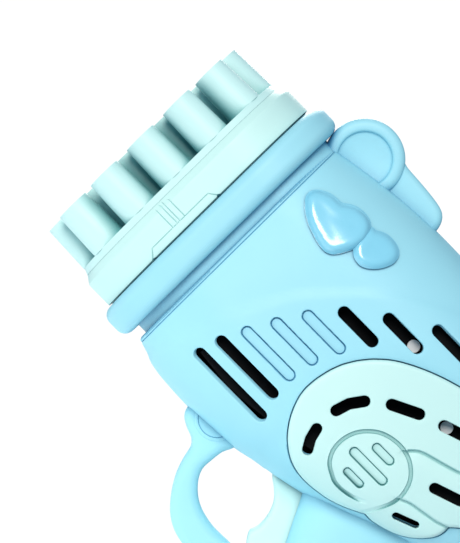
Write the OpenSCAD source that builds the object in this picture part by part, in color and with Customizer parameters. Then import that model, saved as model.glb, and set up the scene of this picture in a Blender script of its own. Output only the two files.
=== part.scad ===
// Hand-held bubble machine: a multi-tube bubble head on a rounded case with
// wing-shaped side panels, heart badges, a squeeze trigger and a blower inside.
// +X points to the bubble head, +Z is up, the foot of the grip stands on z = 0.

/* [Case] */
// Height of the barrel axis above the foot
axis_z = 150; // [145:1:155]
// Thickness of the foot under the grip
foot_h = 6.5; // [6:0.5:7]
// Wall thickness of the case
wall = 2.3; // [2:0.1:2.6]
// Half-length of the straight flank of every stadium section in the head
flank = 21.3; // [20:0.1:22]
// Width of the louvre slots
slot_w = 5.4; // [4.6:0.1:5.6]
// Depth of the blind louvre slots
blind_d = 1.1; // [0.6:0.1:1.4]

/* [Bubble head] */
// Radius of the head's end arcs
head_r = 38.4; // [38.2:0.1:39]
// Radius of the neck's end arcs
neck_r = 35.2; // [35:0.05:35.2]
// Radius of the collar ring's end arcs
collar_r = 43.4; // [42:0.1:44]
// Length of the bubble tubes
tube_l = 22; // [18:0.5:22]
// Outside radius of a tube at its root
tube_r1 = 8.5; // [8.2:0.1:8.6]
// Outside radius of a tube at its mouth
tube_r2 = 7.75; // [7.6:0.05:8]
// Bore radius of the tubes
tube_bore = 6.4; // [6:0.1:6.6]

/* [Ear and badges] */
// Radius of the round ear on top
ear_r = 17.5; // [16:0.5:18]
// Half thickness of the ear
ear_y = 9.5; // [8:0.5:10]
// Radius of the recessed dish in the ear
dish_r = 11.7; // [11:0.1:12]
// How far the wing panels stand proud of the case
wing_t = 2.5; // [2:0.1:3]
// How far the heart badges stand proud of the case
heart_t = 3.2; // [2.5:0.1:4]

/* [Blower] */
// Outside radius of the fan housing
fan_r = 29; // [28.5:0.1:29]
// Radius over the impeller blades
blade_r = 25.2; // [24:0.1:25.5]
// Number of impeller blades
blades = 12; // [8:1:14]
// Radius of the motor can
motor_r = 12.2; // [11:0.1:12.2]

/* [Trigger] */
// Width of the trigger
trigger_w = 12; // [10:0.5:12]
// Radius of the trigger pin
pin_r = 1.5; // [1.4:0.1:1.5]

/* [Power] */
// Radius of one cell
cell_r = 7.1; // [7:0.05:7.2]
// Length of one cell
cell_l = 50.2; // [49.5:0.1:50.2]
// Spacing of the cells
cell_pitch = 15.2; // [15:0.1:15.3]

/* [Hidden] */
$fn = 48;
blue = [0.62, 0.9, 0.98];
deep = [0.5, 0.82, 0.97];
mint = [0.75, 0.97, 0.92];
black = [0.08, 0.08, 0.09];
steel = [0.75, 0.76, 0.78];
eps = 0.01;

// Profile of the case against x: top and bottom above the axis, and half width.
top_tab = [[-135, 15], [-134.4, 18.5], [-133, 21.5], [-130, 25.5], [-122, 32], [-112, 39],
  [-100, 45], [-80, 52.3], [-60, 57], [-40, 60.4], [-20, 62.6], [0, 63.8], [14, 64],
  [30, 63.4], [46, 62], [62, 59.6], [75.3, 57.3]];
bot_tab = [[-135, 10], [-134.4, 7], [-133, 4], [-130, -0.5], [-122, -9], [-112, -17.5],
  [-100, -25.5], [-85, -34], [-70, -40.5], [-56.3, -45.6], [-49.9, -48], [-37, -52.9],
  [-20.8, -57.3], [-6.6, -60.5], [3.4, -62.1], [13, -64.2], [27, -65.4], [40.5, -66],
  [56.6, -65.3], [66.6, -63.6], [75.3, -61.3]];
wid_tab = [[-135, 3.5], [-134.4, 7.5], [-133, 11], [-130, 15.5], [-122, 21.6], [-112, 26.4],
  [-100, 30.4], [-75, 36], [-50, 39.4], [-25, 41.8], [0, 43], [25, 43.4], [45, 42.6],
  [60, 41], [75.3, 38]];
case_x = [75.3, 66, 56, 46, 36, 26, 14, 2, -10, -22, -34, -46, -58, -70, -82, -94, -104, -112];
rise = [for (i = [0:8]) -90 + i * 11.25];
arc = concat([for (a = rise) a], [for (a = rise) a + 90]);

// Grip outline against height: front x, rear x and half width.
front_tab = [[4, -38], [12, -42], [22, -44.2], [32, -44], [42, -42.5], [52, -40], [62, -36.4],
  [72, -31], [80, -26.8], [88, -22.8], [105, -14], [120, -10]];
back_tab = [[4, -92], [12, -89], [25, -85.5], [45, -80], [65, -76], [85, -74.5], [105, -78], [120, -84]];
grip_tab = [[4, 20.5], [14, 19], [30, 18], [55, 17], [75, 17.4], [88, 17.6], [105, 17], [120, 17]];
hollow_x = [80, 66, 56, 46, 36, 26, 14, 2, -10, -22, -34, -46, -58, -70, -82, -94, -104, -113];
hollow_z = [4, 12, 22, 32, 44, 56, 68, 78, 88, 97, 108, 120];
grip_z = [foot_h, 12, 22, 32, 44, 56, 68, 78, 88, 97, 108, 117];

// Half width of the case at x, at height h above the axis.
function side_y(x, h) =
  let(t = lookup(x, top_tab), b = lookup(x, bot_tab), w = lookup(x, wid_tab),
      r = min(w, (t - b) / 2 - 0.1),
      d = h > t - r ? h - t + r : (h < b + r ? b + r - h : 0))
  w * sqrt(max(0, 1 - d * d / (r * r)));

// One ring of half the case section, grown by g, from the keel over the flank to the top.
function case_ring(x, g, y0) =
  let(t = lookup(x, top_tab) + g, b = lookup(x, bot_tab) - g, w = lookup(x, wid_tab) + g,
      r = min(w, (t - b) / 2 - 0.1))
  concat(
    y0 < 0 ? [[x, y0, b]] : [],
    [for (i = [0:len(arc) - 1])
      let(c = i <= 8 ? b + r : t - r)
      [x, w * cos(arc[i]), c + r * sin(arc[i])]],
    y0 < 0 ? [[x, y0, t]] : []);

function grip_ring(z, g, y0) =
  let(f = lookup(z, front_tab) + g, k = lookup(z, back_tab) - g, w = lookup(z, grip_tab) + g,
      c = (f + k) / 2, h = (f - k) / 2)
  concat(
    y0 < 0 ? [[f, y0, z]] : [],
    [for (i = [0:16])
      let(a = i * 11.25, u = cos(a), v = sin(a))
      [c + h * sign(u) * pow(abs(u), 0.8), w * pow(max(v, 0), 0.8), z]],
    y0 < 0 ? [[k, y0, z]] : []);

// Closed solid through a row of rings that all have the same number of points.
module loft(rings, lift = 0) {
  n = len(rings);
  m = len(rings[0]);
  pts = [for (r = rings) for (p = r) [p[0], p[1], p[2] + lift]];
  side = [for (i = [0:n - 2]) for (j = [0:m - 1]) for (t = [0, 1])
    let(a = i * m + j, b = i * m + (j + 1) % m, c = a + m, d = b + m)
    t == 0 ? [a, b, c] : [b, d, c]];
  cap0 = [for (j = [1:m - 2]) [0, j + 1, j]];
  cap1 = [for (j = [1:m - 2]) let(o = (n - 1) * m) [o, o + j, o + j + 1]];
  polyhedron(points = pts, faces = concat(side, cap0, cap1), convexity = 6);
}

module case_half(xs, g = 0, y0 = 0) {
  loft([for (x = xs) case_ring(x, g, y0)], axis_z);
}

// Whole case section, both flanks in one ring.
function full_ring(x, g) =
  let(h = case_ring(x, g, 0), n = len(h))
  concat(h, [for (i = [n - 2:-1:1]) [h[i][0], -h[i][1], h[i][2]]]);

module whole_case(xs, g = 0) {
  loft([for (x = xs) full_ring(x, g)], axis_z);
}

module grip_half(g = 0, y0 = 0, zs = grip_z) {
  loft([for (i = [len(zs) - 1:-1:0]) grip_ring(zs[i], g, y0)]);
}

// Plates cut from the side outline: points are [x, height above the axis].
module side_plate(pts, y0, y1) {
  translate([0, y1, axis_z]) rotate([90, 0, 0]) linear_extrude(y1 - y0) polygon(pts);
}

module y_rod(x, h, r, y0, y1) {
  translate([x, y0, axis_z + h]) rotate([-90, 0, 0]) cylinder(h = y1 - y0, r = r);
}

module x_rod(y, h, r, x0, x1) {
  translate([x0, y, axis_z + h]) rotate([0, 90, 0]) cylinder(h = x1 - x0, r = r);
}

// Round-ended slot between two points of the side outline.
module side_slot(p, q, w, y0, y1) {
  t = atan2(q[1] - p[1], q[0] - p[0]);
  side_plate(concat(
    [for (a = [-90:15:90]) [q[0] + w / 2 * cos(t + a), q[1] + w / 2 * sin(t + a)]],
    [for (a = [90:15:270]) [p[0] + w / 2 * cos(t + a), p[1] + w / 2 * sin(t + a)]]), y0, y1);
}

// Stadium prism along x with end arcs of radius r.
module stadium(r, x0, x1) {
  x_rod(0, flank, r, x0, x1);
  x_rod(0, -flank, r, x0, x1);
  translate([x0, -r, axis_z - flank]) cube([x1 - x0, 2 * r, 2 * flank]);
}

// Stadium solid along x from a half profile of [radius, x] points.
module stadium_turned(profile) {
  for (s = [-1, 1])
    translate([0, 0, axis_z + s * flank]) rotate([0, 90, 0])
      rotate_extrude($fn = 96) polygon(profile);
  translate([0, 0, axis_z - flank]) linear_extrude(2 * flank)
    polygon(concat([for (p = profile) [p[1], p[0]]],
      [for (i = [len(profile) - 1:-1:0]) [profile[i][1], -profile[i][0]]]));
}

// Louvre slots on each flank: front x, rear x, height.
thru_slots = [[55.3, 13.9, -45.6], [52.8, 17.3, -35.5], [25.7, 3.8, 9.4],
  [10.7, -11.3, 20.8], [-7.2, -29, 32.1]];
blind_slots = [[48.1, 17.8, -25], [42.1, 15.9, -13.7], [35.2, 11.1, -2.3]];
// Openings through the wing panel: two ends and width.
wing_slots = [[[-3.3, -32.4], [-4.7, -37.3], 4.7], [[-4.7, -37.3], [-7.2, -41.3], 4.7],
  [[-3.5, -21.4], [-5.2, -15.7], 4.9], [[-5.2, -15.7], [-9, -10.3], 4.9],
  [[-17.9, -3.3], [-28.8, 2.1], 5], [[-39.6, 6], [-48.5, 9], 5],
  [[-55.5, -14.9], [-67, -11], 4.7], [[-53.3, -34.6], [-61.9, -31.3], 3.2]];
hub = [-30.2, -27.3];
hub_slots = [[-24.3, -36.1, 7.1], [-19, -40.3, -0.8], [-23.2, -34.7, -8.6]];

wing_pts = [[11.7, -24.5], [11.7, -21.7], [11.4, -18.2], [10.8, -15], [10.1, -12], [9.2, -9.2],
  [8, -6.2], [6.5, -3.5], [4.9, -0.9], [3.1, 1.5], [1.2, 3.8], [-0.9, 5.9], [-4, 8.7],
  [-8, 11.5], [-13, 14.3], [-19, 17.1], [-25.2, 19.5], [-33, 21.9], [-45, 25], [-60, 28.2],
  [-78, 30.6], [-92, 31.2], [-102, 30.2], [-107, 27.6], [-108.6, 24], [-106.4, 19.6],
  [-101, 15.2], [-94.5, 11.6], [-89.5, 9.4], [-92.6, 6.2], [-94.6, 1.8], [-94.4, -3.4],
  [-91.6, -8.6], [-86, -13.2], [-80, -16.4], [-75.5, -19], [-72, -22.2], [-72.4, -25],
  [-71.5, -29], [-68.4, -33.6], [-64.4, -37.4], [-59.6, -40.3], [-53.8, -42.3],
  [-48.5, -43.4], [-44.4, -43.3], [-42.2, -44.6], [-36.2, -47.6], [-29.8, -49.9], [-24, -51],
  [-17.5, -51.6], [-11.3, -51.1], [-5.1, -49], [1.2, -44.6], [5.9, -39.2], [9, -33.9],
  [11, -28.6]];

guard_pts = [[39.6, -56], [39.6, -66.6], [38, -69.8], [34, -72.3], [29.2, -74.2], [26.7, -77.1],
  [25.1, -83.5], [22.7, -90], [18.7, -96.5], [13, -102.9], [6.6, -106.9], [-0.7, -108.7],
  [-15, -109.5], [-30, -109.8], [-50, -110.5], [-50, -93.8], [-30, -94.2], [-14.7, -94.3],
  [-4.7, -94.5], [3.4, -92.9], [9, -90], [13.8, -85.2], [16.3, -80.3], [16.3, -75.5],
  [15.5, -69], [13.5, -64.5], [12.5, -56]];
guard_y = 8;

pivot = [-12, -50];
trigger_pts = [[-3.4, -50], [-4.4, -54.8], [-6.6, -60.6], [-11.2, -64.2], [-15.2, -68.2],
  [-17.6, -73.9], [-18.1, -80.3], [-16.9, -84], [-17.9, -86.6], [-20, -89.4], [-23, -91.2],
  [-27, -91.8], [-37, -89.4], [-36, -80], [-36, -64], [-29, -55], [-21, -46], [-16, -42.6],
  [-10.5, -41.6], [-6, -43.4]];
well_pts = [[-1.6, -40], [-1.2, -60], [-5, -68], [-16, -93.5], [-45.5, -93.5], [-45.5, -62],
  [-32, -44], [-22, -38]];

// Outlines of the two heart badges: x, height above the axis.
large_heart = [[66.5, 29.4], [68.4, 31.6], [69, 34], [68, 36.7], [65.3, 39], [62.1, 40.5],
  [58.8, 41], [55.9, 41.2], [54.1, 42.6], [51.2, 44.3], [47.3, 45.1], [43.5, 44.7],
  [40.6, 43], [38.9, 40.5], [38, 37.2], [38.3, 33.3], [39.4, 29.8], [41.2, 26.2],
  [43.3, 23.2], [45.7, 21.7], [48.4, 21.4], [51.9, 22], [55.9, 23.2], [60.2, 24.8],
  [63.9, 27]];
small_heart = [[38.6, 30], [40, 31.5], [41, 34], [41.4, 37.3], [41.2, 40], [40.6, 42],
  [39.7, 43.2], [38.2, 43.1], [36, 44.4], [32.8, 45.5], [29, 45.5], [25.6, 44.4],
  [23.6, 42.1], [23.1, 38.8], [24.2, 35.3], [26.3, 32], [29.1, 29.3], [32.2, 27.8],
  [35.4, 28], [37.2, 28.8]];

// Screws that close the case: x, height, y of the seat, length, inner post (true or false).
screws = [[48, -58, 12, 24, 1], [48, 52.3, 12, 24, 1], [-8, 54, 12, 24, 1], [6, -55, 12, 24, 1],
  [-50, 47.6, 12, 24, 1], [-48.6, -36.5, 12, 24, 1], [-88, 39, 12, 24, 1],
  [-58.5, -84, 7, 17, 1], [-63, -124, 7, 17, 1], [21.4, -78.6, 4.4, 10.6, 0]];
post_r = 4.3;

tray_x0 = -108;
tray_x1 = -54;
tray_w = 33;
pack_h = 10;
cover_screw_h = 32.4;

// Centres of the bubble tubes, as [y, height].
outer_c = [[0, 48], [18.9, 40.2], [26.7, 21.3], [26.7, 0], [26.7, -21.3], [18.9, -40.2],
  [0, -48], [-18.9, -40.2], [-26.7, -21.3], [-26.7, 0], [-26.7, 21.3], [-18.9, 40.2]];
inner_c = [[0, 29], [9.5, 10.7], [9.5, -10.7], [0, -29], [-9.5, -10.7], [-9.5, 10.7]];
centres = concat(outer_c, inner_c);

// ---- case ----

module ear_half() {
  translate([62.3, 0, axis_z + 62.3]) rotate([-90, 0, 0])
    rotate_extrude($fn = 96) polygon([[0, -1], [ear_r, -1], [ear_r, ear_y - 3],
      [ear_r - 0.9, ear_y - 0.9], [ear_r - 3, ear_y], [dish_r + 1, ear_y],
      [dish_r, ear_y - 1], [dish_r - 0.2, ear_y - 1.6], [0, ear_y - 1.6]]);
}

bump_pts = [[58, 54], [58, 74], [46, 73], [36, 72.4], [27, 71.4], [22.6, 70], [20, 67.2],
  [18.8, 63], [18.6, 54]];

// Solid post of a case screw, before drilling.
module post(s) {
  reach = s[1] < -75 ? lookup(axis_z + s[1], grip_tab) - 1.6
    : min(side_y(s[0], s[1] + post_r), side_y(s[0], s[1] - post_r)) - 0.9;
  y_rod(s[0], s[1], post_r, -1, reach);
}

// Half of the case on +y with its posts, without the screw holes. It is made a little
// past the mid-plane and trimmed there.
module half_case() {
  difference() {
    union() {
      difference() {
        union() {
          case_half(case_x, 0, -1);
          grip_half(0, -1);
          side_plate(guard_pts, -1, guard_y);
          ear_half();
          side_plate(bump_pts, -1, ear_y - 0.4);
        }
        case_half(hollow_x, -wall, -3);
        grip_half(-wall, -3, hollow_z);
        stadium(neck_r + 0.05, 64, 80);
        for (s = thru_slots)
          side_slot([s[1] + slot_w / 2, s[2]], [s[0] - slot_w / 2, s[2]], slot_w, 20, 60);
        for (s = blind_slots)
          side_slot([s[1] + slot_w / 2, s[2]], [s[0] - slot_w / 2, s[2]], slot_w,
            side_y((s[0] + s[1]) / 2, s[2]) - blind_d, 60);
        for (s = wing_slots) side_slot(s[0], s[1], s[2] + 0.6, 20, 60);
        side_plate(well_pts, -3, trigger_w / 2 + 0.5);
      }
      for (s = screws) if (s[4] == 1) post(s);
      y_rod(pivot[0], pivot[1], 4, trigger_w / 2 + 0.8, side_y(pivot[0], pivot[1] - 4) - 0.9);
      translate([-52, 4, axis_z - 91]) cube([2, 11.6, 9]);
    }
    translate([-200, -10, -10]) cube([400, 10, 300]);
  }
}

module left_shell() {
  color(blue) difference() {
    half_case();
    for (s = screws) y_rod(s[0], s[1], 1.46, -1, s[3] - s[2] + 0.6);
    y_rod(pivot[0], pivot[1], pin_r + 0.03, 0, 15);
  }
}

module right_shell() {
  color(blue) mirror([0, 1, 0]) difference() {
    half_case();
    for (s = screws) {
      y_rod(s[0], s[1], 1.6, -1, 45);
      y_rod(s[0], s[1], 3.3, s[2], 60);
    }
    y_rod(pivot[0], pivot[1], pin_r + 0.03, 0, 15);
  }
}

module case_screws() {
  color(steel) for (s = screws) difference() {
    union() {
      y_rod(s[0], s[1], 1.43, -s[2] - 0.2, s[3] - s[2]);
      y_rod(s[0], s[1], 3, -s[2] - 2.4, -s[2]);
    }
    translate([s[0], -s[2] - 2.4, axis_z + s[1]]) cube([3.4, 2.4, 0.8], center = true);
    translate([s[0], -s[2] - 2.4, axis_z + s[1]]) cube([0.8, 2.4, 3.4], center = true);
  }
}

module front_bulkhead() {
  color(blue) difference() {
    stadium(neck_r, 66, 100);
    stadium(neck_r - 2.3, 72.4, 101);
    stadium(neck_r - 2.3, 65, 70);
    for (c = centres) x_rod(c[0], c[1] * 0.94, 4.6, 60, 80);
    difference() {
      stadium(neck_r + 1, 95, 97);
      stadium(neck_r - 1.1, 94, 98);
    }
  }
}

module head_seal() {
  color(black) difference() {
    stadium(neck_r + 0.1, 95.05, 96.95);
    stadium(neck_r - 1.08, 94, 98);
  }
}

module collar_ring() {
  r0 = neck_r + 0.05;
  e = 4.7;
  color(blue) difference() {
    stadium_turned(concat([[0, 79.6]],
      [for (a = [-90:11.25:0]) [collar_r - e + e * cos(a), 84.3 + e * sin(a)]],
      [for (a = [0:11.25:90]) [collar_r - e + e * cos(a), 88.9 + e * sin(a)]], [[0, 93.6]]));
    stadium(r0, 70, 100);
    stadium(collar_r - e, 82.4, 90.8);
  }
}

module grip_foot() {
  color(blue) difference() {
    union() {
      for (x = [-31, -84], y = [-11, 11]) translate([x, y, 0]) cylinder(h = foot_h, r = 12);
      translate([-84, -23, 0]) cube([53, 46, foot_h]);
      translate([-96, -11, 0]) cube([77, 22, foot_h]);
      translate([-80, -11.5, foot_h - eps]) cube([29, 23, 6]);
    }
    translate([-78, -9.5, 3]) cube([25, 19, 12]);
  }
}

// ---- side trim ----

// Plate of a given outline that lies on the flank of the case, g0 to g1 above its surface.
module flank_plate(pts, xs, g0, g1) {
  n = len(xs) - 1;
  difference() {
    intersection() {
      case_half(xs, g1, -1);
      side_plate(pts, 8, 60);
    }
    case_half(concat([xs[0] + 12], xs, [xs[n] - 6]), g0, -3);
  }
}

module wing_half() {
  difference() {
    flank_plate(wing_pts, [14, 2, -10, -22, -34, -46, -58, -70, -82, -94, -104, -112], 0.03, wing_t);
    for (s = wing_slots) side_slot(s[0], s[1], s[2], 10, 60);
    for (s = hub_slots)
      side_slot([s[1] + 2.1, hub[1] + s[2]], [s[0] - 2.1, hub[1] + s[2]], 4.3,
        side_y(-30, -20) + wing_t - 0.9, 60);
  }
}

module wing_panel_left() { color(mint) wing_half(); }
module wing_panel_right() { color(mint) mirror([0, 1, 0]) wing_half(); }

module large_heart_half() {
  flank_plate(large_heart, [73, 66, 56, 46, 36], 0.03, heart_t);
}

// The small heart stops short of the large one, which lies over it.
module small_heart_half() {
  difference() {
    flank_plate(small_heart, [46, 36, 26, 14], 0.03, heart_t - 1.1);
    translate([0, 60, axis_z]) rotate([90, 0, 0]) linear_extrude(55)
      offset(delta = 0.3) polygon(large_heart);
  }
}

module heart_large_left() { color(deep) large_heart_half(); }
module heart_large_right() { color(deep) mirror([0, 1, 0]) large_heart_half(); }
module heart_small_left() { color(deep) small_heart_half(); }
module heart_small_right() { color(deep) mirror([0, 1, 0]) small_heart_half(); }

// ---- rear cover ----

module rear_cover() {
  color(blue) difference() {
    union() {
      difference() {
        union() {
          whole_case([-112.3, -117, -122, -126, -130, -133, -134.4, -135]);
          whole_case([-108.6, -112, -114], -wall - 0.35);
        }
        whole_case([-107, -112, -117, -122, -126, -130, -132.5], -wall - 1.9);
      }
      translate([-113, -13, axis_z + pack_h - 13]) cube([2.4, 26, 26]);
      for (y = [-8, 8], h = [2, 16]) x_rod(y, h, 2, -128, -112);
      x_rod(0, cover_screw_h - 0.4, 4, -118.6, -112.3);
    }
    x_rod(0, cover_screw_h, 1.65, -140, -100);
    x_rod(0, cover_screw_h, 3.2, -140, -115);
  }
}

module cover_screw() {
  color(steel) difference() {
    union() {
      x_rod(0, cover_screw_h, 1.4, -115.2, -100);
      x_rod(0, cover_screw_h, 2.9, -117.2, -115);
    }
    translate([-117.2, 0, axis_z + cover_screw_h]) cube([2.4, 3.4, 0.8], center = true);
    translate([-117.2, 0, axis_z + cover_screw_h]) cube([2.4, 0.8, 3.4], center = true);
  }
}

// ---- bubble head ----

module nozzle_cap() {
  color(mint) difference() {
    stadium_turned([[0, 93.95], [head_r - 0.6, 93.95], [head_r, 94.6], [head_r, 106.6],
      [head_r - 2.4, 110], [0, 110]]);
    stadium(neck_r + 0.42, 90, 104.2);
    stadium(31, 90, 112);
  }
}

module tube_plate() {
  color(mint) difference() {
    union() {
      stadium_turned([[0, 110], [head_r - 2.4, 110], [head_r - 3.6, 113], [0, 113]]);
      stadium(30.95, 104.3, 110.1);
      for (c = centres) translate([113 - eps, c[0], axis_z + c[1]]) rotate([0, 90, 0])
        cylinder(h = tube_l + eps, r1 = tube_r1, r2 = tube_r2);
    }
    for (c = centres) x_rod(c[0], c[1], tube_bore, 100, 140);
    stadium(28.6, 100, 109.6);
  }
}

module diffuser_plate() {
  color(mint) difference() {
    stadium(neck_r + 0.4, 101.4, 103.4);
    for (c = centres) x_rod(c[0], c[1], 3, 98, 106);
  }
}

// ---- blower ----

module fan_housing() {
  color(black) difference() {
    union() {
      x_rod(0, 0, fan_r, 24, 54);
      for (h = [-62.5, 27]) translate([30, -6, axis_z + h]) cube([3, 12, h < 0 ? 35.5 : 33]);
      for (y = [-30.9, 27]) translate([30, y, axis_z - 3]) cube([3, 3.9, 6]);
    }
    x_rod(0, 0, fan_r - 2, 26, 55);
    x_rod(0, 0, 17, 20, 30);
  }
}

module air_duct() {
  color(black) difference() {
    stadium(neck_r, 54.05, 65.95);
    stadium(neck_r - 2, 55.6, 67);
    x_rod(0, 0, fan_r - 2, 50, 60);
  }
}

module impeller() {
  color([0.9, 0.9, 0.92]) difference() {
    union() {
      x_rod(0, 0, 7, 28, 43);
      x_rod(0, 0, blade_r, 28, 29.5);
      for (i = [0:blades - 1]) translate([29.4, 0, axis_z]) rotate([i * 360 / blades, 0, 0])
        translate([0, 6, -0.7]) cube([13, blade_r - 6.2, 1.4]);
    }
    x_rod(0, 0, 1.02, 20, 41);
  }
}

module motor_shaft() {
  color(steel) x_rod(0, 0, 1, -8, 40.5);
}

module motor() {
  color(steel) difference() {
    union() {
      x_rod(0, 0, motor_r, -12, 18);
      x_rod(0, 0, 3, 17.9, 19.5);
      x_rod(0, 0, 4, -14, -11.9);
    }
    x_rod(0, 0, 1.06, -10, 20);
    for (y = [-8, 8]) x_rod(y, 0, 1.2, 13, 19);
  }
}

module motor_bracket() {
  color(black) difference() {
    union() {
      x_rod(0, 0, 13, 18.02, 20);
      for (a = [45:90:315]) translate([18.02, 0, axis_z]) rotate([a, 0, 0]) {
        translate([0, 10, -3]) cube([1.98, 18, 6]);
        translate([0, 24.5, -3]) cube([5.96, 3.5, 6]);
      }
    }
    x_rod(0, 0, 3.1, 10, 30);
    for (y = [-8, 8]) x_rod(y, 0, 1.3, 10, 30);
  }
}

module motor_screws() {
  color(steel) for (y = [-8, 8]) {
    x_rod(y, 0, 1.17, 14, 20.2);
    x_rod(y, 0, 2.2, 20.05, 21.5);
  }
}

// Push-in pegs that hold each baffle, and the radius of their heads.
pegs = [[-7.6, 20.4], [-41.5, 6.4], [45, -20], [-20, -25]];
peg_r = 2.7;
baffle_pts = [[53, -45], [53, 24], [44, 36], [26, 43], [-22, 42.3], [-34, 40.3], [-34, 22],
  [-66, 18], [-70, -12.5], [-62, -18.3], [-50, -25.3], [-38, -31.3], [-26, -35.8],
  [-14, -39.3], [-2, -41.8], [10, -44.3], [22, -45.8], [34, -46.8]];

// Stepped inner strips of the baffle, where the case narrows: points, y of the inner face.
baffle_strips = [[[[53.9, -51], [53.9, -42], [-14, -36], [-14, -45], [8, -45.5], [12, -51]], 23.6],
  [[[-47, -20], [-47, -38], [-66, -33], [-66, -20]], 17]];
baffle_pillars = [[40, -40, 23.6], [12, -38, 23.6], [-9, -37, 23.6], [-50, -23, 17], [-58, -19.4, 17]];

module baffle_half() {
  difference() {
    union() {
      side_plate(baffle_pts, 31, 32.4);
      for (s = baffle_strips) side_plate(s[0], s[1], s[1] + 1.4);
      for (q = baffle_pillars) y_rod(q[0], q[1], 1.6, q[2] + 0.7, 31.7);
    }
    for (s = screws) y_rod(s[0], s[1], post_r + 0.6, 10, 60);
    for (q = pegs) y_rod(q[0], q[1], 1.55, 20, 60);
  }
}

module baffle_pegs() {
  color("white") for (s = [0, 1], q = pegs) mirror([0, s, 0]) {
    y_rod(q[0], q[1], 1.5, 28.5, 32.6);
    y_rod(q[0], q[1], peg_r, 32.45, 35.4);
  }
}

module baffle_left() { color(black) baffle_half(); }
module baffle_right() { color(black) mirror([0, 1, 0]) baffle_half(); }

// ---- trigger ----

module trigger() {
  color(mint) difference() {
    side_plate(trigger_pts, -trigger_w / 2, trigger_w / 2);
    y_rod(pivot[0], pivot[1], pin_r + 0.05, -20, 20);
  }
}

module trigger_pin() {
  color(steel) y_rod(pivot[0], pivot[1], pin_r, -14.9, 14.9);
}

module trigger_spring() {
  color(steel) for (i = [0:5]) translate([-48.9 + i * 2.2, 0, axis_z - 85.5]) rotate([0, 90, 0])
    rotate_extrude($fn = 32) translate([3, 0]) circle(r = 0.4, $fn = 16);
}

module switch_body() {
  color(black) difference() {
    translate([-56, -6, axis_z - 78]) cube([12, 12, 12]);
    x_rod(0, -72, 1.6, -52, -43);
    for (h = [-76, -68]) y_rod(-53, h, 1, -10, 10);
  }
}

module switch_plunger() {
  color([0.85, 0.2, 0.2]) x_rod(0, -72, 1.5, -46.5, -36.5);
}

module switch_screws() {
  color(steel) for (h = [-76, -68]) {
    y_rod(-53, h, 0.95, -7, 9);
    y_rod(-53, h, 1.8, -8.2, -6.02);
  }
}

// ---- power ----

module battery_tray() {
  color(black) difference() {
    union() {
      translate([tray_x0, -tray_w / 2, axis_z + pack_h - tray_w / 2])
        cube([tray_x1 - tray_x0, tray_w, tray_w]);
      x_rod(0, cover_screw_h, 3.4, -108, -96);
      for (x = [-80, -62]) translate([x, -29, axis_z + pack_h - 2]) cube([3, 58, 4]);
      translate([-108, -2, axis_z + 26]) cube([12, 4, 5]);
    }
    translate([tray_x0 - 1, -tray_w / 2 + 1.2, axis_z + pack_h - tray_w / 2 + 1.2])
      cube([tray_x1 - tray_x0 - 0.4, tray_w - 2.4, tray_w - 2.4]);
    x_rod(0, cover_screw_h, 1.45, -120, -98);
  }
}

module at_cells() {
  for (y = [-1, 1], h = [-1, 1])
    translate([0, y * cell_pitch / 2, h * cell_pitch / 2 + pack_h]) children();
}

module batteries() {
  color([0.2, 0.5, 0.35]) at_cells() {
    x_rod(0, 0, cell_r, -107.3, -107.3 + cell_l - 1.2);
    x_rod(0, 0, 2.7, -107.3 + cell_l - 1.3, -107.3 + cell_l);
  }
}

module front_contacts() {
  color(steel) for (h = [-1, 1]) translate([-57, -13, axis_z + pack_h + h * cell_pitch / 2 - 5])
    cube([1.5, 26, 10]);
}

module rear_contacts() {
  color(steel) for (y = [-1, 1]) {
    translate([-110.55, y * cell_pitch / 2 - 5, axis_z + pack_h - 12]) cube([0.6, 10, 24]);
    for (h = [-1, 1]) for (i = [0:2])
      translate([-109.5 + i * 0.75, y * cell_pitch / 2, axis_z + pack_h + h * cell_pitch / 2])
        rotate([0, 90, 0]) rotate_extrude($fn = 24) translate([3.6 - i * 0.5, 0]) circle(r = 0.35, $fn = 13);
  }
}

wire_a = [[-53, 4, 168], [-44, 4, 170], [-30, 3, 156], [-15.2, 3, 153.5]];
wire_b = [[-53, -5, 150], [-40, -8, 128], [-38, -7.5, 106], [-44, -3, 90], [-50, -3, 85.1]];
wire_c = [[-48, 3, 85.1], [-40, 8, 100], [-30, 8, 125], [-15.2, -3, 146.5]];

module wire(p) {
  for (i = [0:len(p) - 2]) {
    d = p[i + 1] - p[i];
    translate(p[i]) rotate([0, acos(d[2] / norm(d)), atan2(d[1], d[0])]) cylinder(h = norm(d), r = 0.8);
    translate(p[i + 1]) sphere(r = 0.95, $fn = 24);
  }
}

module wiring() {
  color([0.8, 0.15, 0.15]) {
    wire(wire_a);
    wire(wire_b);
    wire(wire_c);
  }
}

left_shell();
right_shell();
front_bulkhead();
collar_ring();
grip_foot();
wing_panel_left();
wing_panel_right();
heart_large_left();
heart_small_left();
heart_large_right();
heart_small_right();
rear_cover();
cover_screw();
case_screws();
nozzle_cap();
tube_plate();
diffuser_plate();
head_seal();
fan_housing();
air_duct();
impeller();
motor();
motor_shaft();
motor_bracket();
motor_screws();
baffle_left();
baffle_right();
baffle_pegs();
trigger();
trigger_pin();
trigger_spring();
switch_body();
switch_plunger();
switch_screws();
battery_tray();
batteries();
front_contacts();
rear_contacts();
wiring();
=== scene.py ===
import math

import bmesh
import bpy
import numpy as np
from mathutils import Matrix, Vector
from mathutils.geometry import delaunay_2d_cdt


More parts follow.
